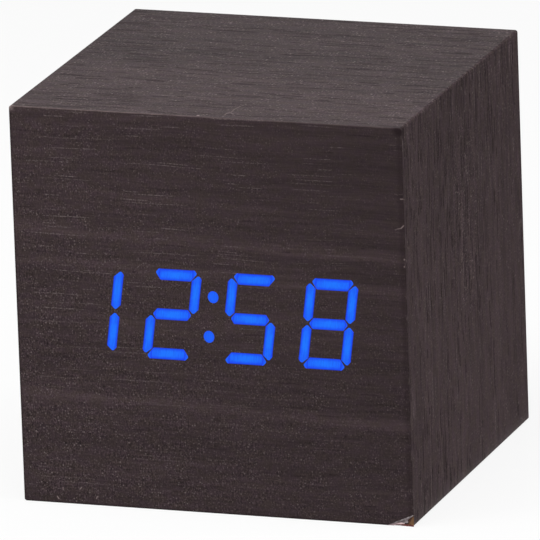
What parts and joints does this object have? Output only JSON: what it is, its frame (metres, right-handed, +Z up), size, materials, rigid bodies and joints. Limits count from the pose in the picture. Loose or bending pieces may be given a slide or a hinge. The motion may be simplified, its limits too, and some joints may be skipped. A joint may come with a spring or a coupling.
{
  "type": "digital desk clock",
  "caption": "Cube desk clock in dark wood-grain film with glowing blue digits, a hinged battery door underneath, and buttons and a power socket at the rear.",
  "frame": {"origin": "middle of the underside, on the surface that the clock stands on", "axes": "+Z up, -Y towards the viewer out of the face with the digits, +X to the right seen from the front"},
  "size_m": [0.062, 0.0575, 0.062],
  "materials": {
    "wood_film": "printed dark wood grain, satin",
    "fibreboard": "raw fibreboard, brown",
    "lit_film": "film that glows blue from behind",
    "diffuser": "milky white sheet",
    "reflector": "white moulded plastic",
    "led": "light chips with clear tops",
    "circuit_board": "green solder mask",
    "chip_black": "black moulded resin",
    "steel": "zinc-plated steel",
    "spring_steel": "nickel-plated spring steel",
    "brass": "plated brass",
    "spacer_plastic": "white nylon",
    "black_plastic": "black moulded plastic, fine texture",
    "button_plastic": "black moulded plastic, satin",
    "ribbon": "grey ribbon cable",
    "connector": "off-white moulded plastic",
    "cell_jacket": "plain grey printed jacket over steel",
    "aluminium": "bare can",
    "lead_red": "red insulation",
    "lead_black": "black insulation",
    "sensor": "dark epoxy bead"
  },
  "bodies": {
    "cabinet": {"front_film": "wood_film", "rear_film": "wood_film", "film_top": "wood_film", "film_bottom": "wood_film", "film_left": "wood_film", "film_right": "wood_film", "top_board": "fibreboard", "bottom_board": "fibreboard", "left_board": "fibreboard", "right_board": "fibreboard", "front_board": "fibreboard", "rear_board": "fibreboard", "lit_hours_tens": "lit_film", "lit_hours_units": "lit_film", "lit_colon": "lit_film", "lit_minutes_tens": "lit_film", "lit_minutes_units": "lit_film", "light_diffuser": "diffuser", "segment_reflector": "reflector", "led_chips": "led", "display_board": "circuit_board", "main_board": "circuit_board", "display_driver": "chip_black", "clock_chip": "chip_black", "voltage_regulator": "chip_black", "alarm_buzzer": "chip_black", "switch_housings": "chip_black", "display_screws": "steel", "main_board_screws": "steel", "battery_box_screws": "steel", "display_spacers": "spacer_plastic", "main_board_spacers": "spacer_plastic", "display_ribbon": "ribbon", "ribbon_connectors": "connector", "clock_crystal": "aluminium", "capacitors": "aluminium", "microphone": "aluminium", "temperature_sensor": "sensor", "power_socket": "black_plastic", "socket_pin": "brass", "battery_box": "black_plastic", "battery_cells": "cell_jacket", "cell_springs": "spring_steel", "contact_plates": "spring_steel", "red_lead": "lead_red", "black_lead": "lead_black"},
    "battery_door": {"battery_door": "black_plastic"},
    "set_button": {"set_button": "button_plastic", "set_plunger": "chip_black"},
    "up_button": {"up_button": "button_plastic", "up_plunger": "chip_black"},
    "down_button": {"down_button": "button_plastic", "down_plunger": "chip_black"}
  },
  "joints": [
    {"name": "door_hinge", "type": "hinge", "parent": "cabinet", "child": "battery_door", "pos_m": [0, -0.01525, 0.0009], "axis": [-1, 0, 0], "range_deg": [0, 95]},
    {"name": "set_press", "type": "slide", "parent": "cabinet", "child": "set_button", "axis": [0, -1, 0], "range_m": [0, 0.0003], "stiffness_N_per_m": 3000},
    {"name": "up_press", "type": "slide", "parent": "cabinet", "child": "up_button", "axis": [0, -1, 0], "range_m": [0, 0.0003], "stiffness_N_per_m": 3000},
    {"name": "down_press", "type": "slide", "parent": "cabinet", "child": "down_button", "axis": [0, -1, 0], "range_m": [0, 0.0003], "stiffness_N_per_m": 3000}
  ]
}
